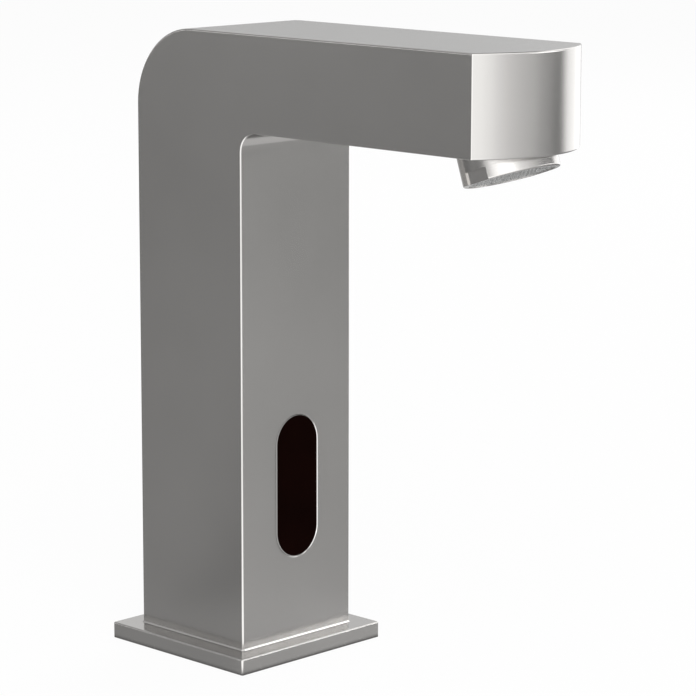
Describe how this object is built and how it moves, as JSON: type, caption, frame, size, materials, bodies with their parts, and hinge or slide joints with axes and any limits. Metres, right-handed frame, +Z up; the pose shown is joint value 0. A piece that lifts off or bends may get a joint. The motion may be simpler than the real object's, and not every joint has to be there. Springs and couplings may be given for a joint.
{
  "type": "sensor tap",
  "caption": "Deck-mounted sensor tap: square column, flat spout with a bowed nose, tilted aerator, dark sensor window and square base plate, with its valve inside.",
  "frame": {"origin": "middle of the underside of the base plate, where the tap stands on its deck", "axes": "+Z up; -Y towards the spout and the user; +X to the right for someone who looks along +Y"},
  "size_m": [0.0508, 0.1305, 0.1649],
  "materials": {
    "satin_metal": "satin brushed",
    "collar_metal": "satin turned",
    "black_rubber": "matt",
    "brass": "machined",
    "screw_steel": "machined",
    "mesh_steel": "fine mesh",
    "white_plastic": "moulded",
    "grey_plastic": "moulded",
    "black_plastic": "moulded",
    "tube_steel": "drawn",
    "spring_steel": "drawn wire",
    "copper_wire": "enamelled copper windings",
    "yoke_steel": "plated",
    "magnet": "sintered ferrite",
    "dark_lens": "polished, infrared-passing",
    "circuit_board": "solder resist",
    "eye_plastic": "tinted epoxy",
    "lamp_plastic": "tinted epoxy"
  },
  "bodies": {
    "tap": {"tap_body": "satin_metal", "base_plate": "satin_metal", "aerator_housing": "collar_metal", "deck_gasket": "black_rubber", "base_core": "brass", "plate_screws": "screw_steel", "body_set_screws": "screw_steel", "cable_grommet": "black_rubber", "inlet_strainer": "mesh_steel", "check_valve_body": "white_plastic", "check_valve_spring": "spring_steel", "check_valve_o_ring": "black_rubber", "riser_tube": "tube_steel", "riser_o_rings": "black_rubber", "outlet_tube": "white_plastic", "outlet_o_rings": "black_rubber", "inner_bracket": "tube_steel", "bracket_screws": "screw_steel", "valve_body": "brass", "valve_cover": "grey_plastic", "cover_screws": "screw_steel", "valve_diaphragm": "black_rubber", "core_sleeve": "tube_steel", "core_sleeve_o_ring": "black_rubber", "fixed_core": "screw_steel", "plunger_spring": "spring_steel", "coil_bobbin": "black_plastic", "coil_winding": "copper_wire", "coil_yoke": "yoke_steel", "latch_magnet": "magnet", "coil_nut": "screw_steel", "coil_lead": "black_plastic", "sensor_window": "dark_lens", "window_gasket": "black_rubber", "sensor_housing": "black_plastic", "sensor_lid": "black_plastic", "sensor_board": "circuit_board", "light_shroud": "black_plastic", "control_chip": "black_plastic", "supply_header": "white_plastic", "aerator_insert": "grey_plastic", "aerator_grid": "mesh_steel", "flow_regulator": "white_plastic", "aerator_seal": "black_rubber", "ir_emitter": "eye_plastic", "ir_receiver": "eye_plastic", "status_lamp": "lamp_plastic"},
    "check_poppet": {"check_valve_poppet": "white_plastic"},
    "solenoid_plunger": {"plunger": "screw_steel", "plunger_tip": "black_rubber"},
    "diaphragm_centre": {"diaphragm_disc": "white_plastic", "seat_washer": "black_rubber"}
  },
  "joints": [
    {"name": "check_valve_slide", "type": "slide", "parent": "tap", "child": "check_poppet", "axis": [0, 0, 1], "range_m": [0, 0.002], "stiffness_N_per_m": 100, "springref_m": -0.0015, "deforming": ["check_valve_spring"]},
    {"name": "plunger_slide", "type": "slide", "parent": "tap", "child": "solenoid_plunger", "axis": [0, 0, 1], "range_m": [0, 0.002], "stiffness_N_per_m": 600, "springref_m": -0.003, "deforming": ["plunger_spring"]},
    {"name": "diaphragm_slide", "type": "slide", "parent": "tap", "child": "diaphragm_centre", "axis": [0, 0, 1], "range_m": [0, 0.0012], "deforming": ["valve_diaphragm"]}
  ],
  "couplings": [
    {"joint": "diaphragm_slide", "follows": "plunger_slide", "ratio": 0.6}
  ]
}
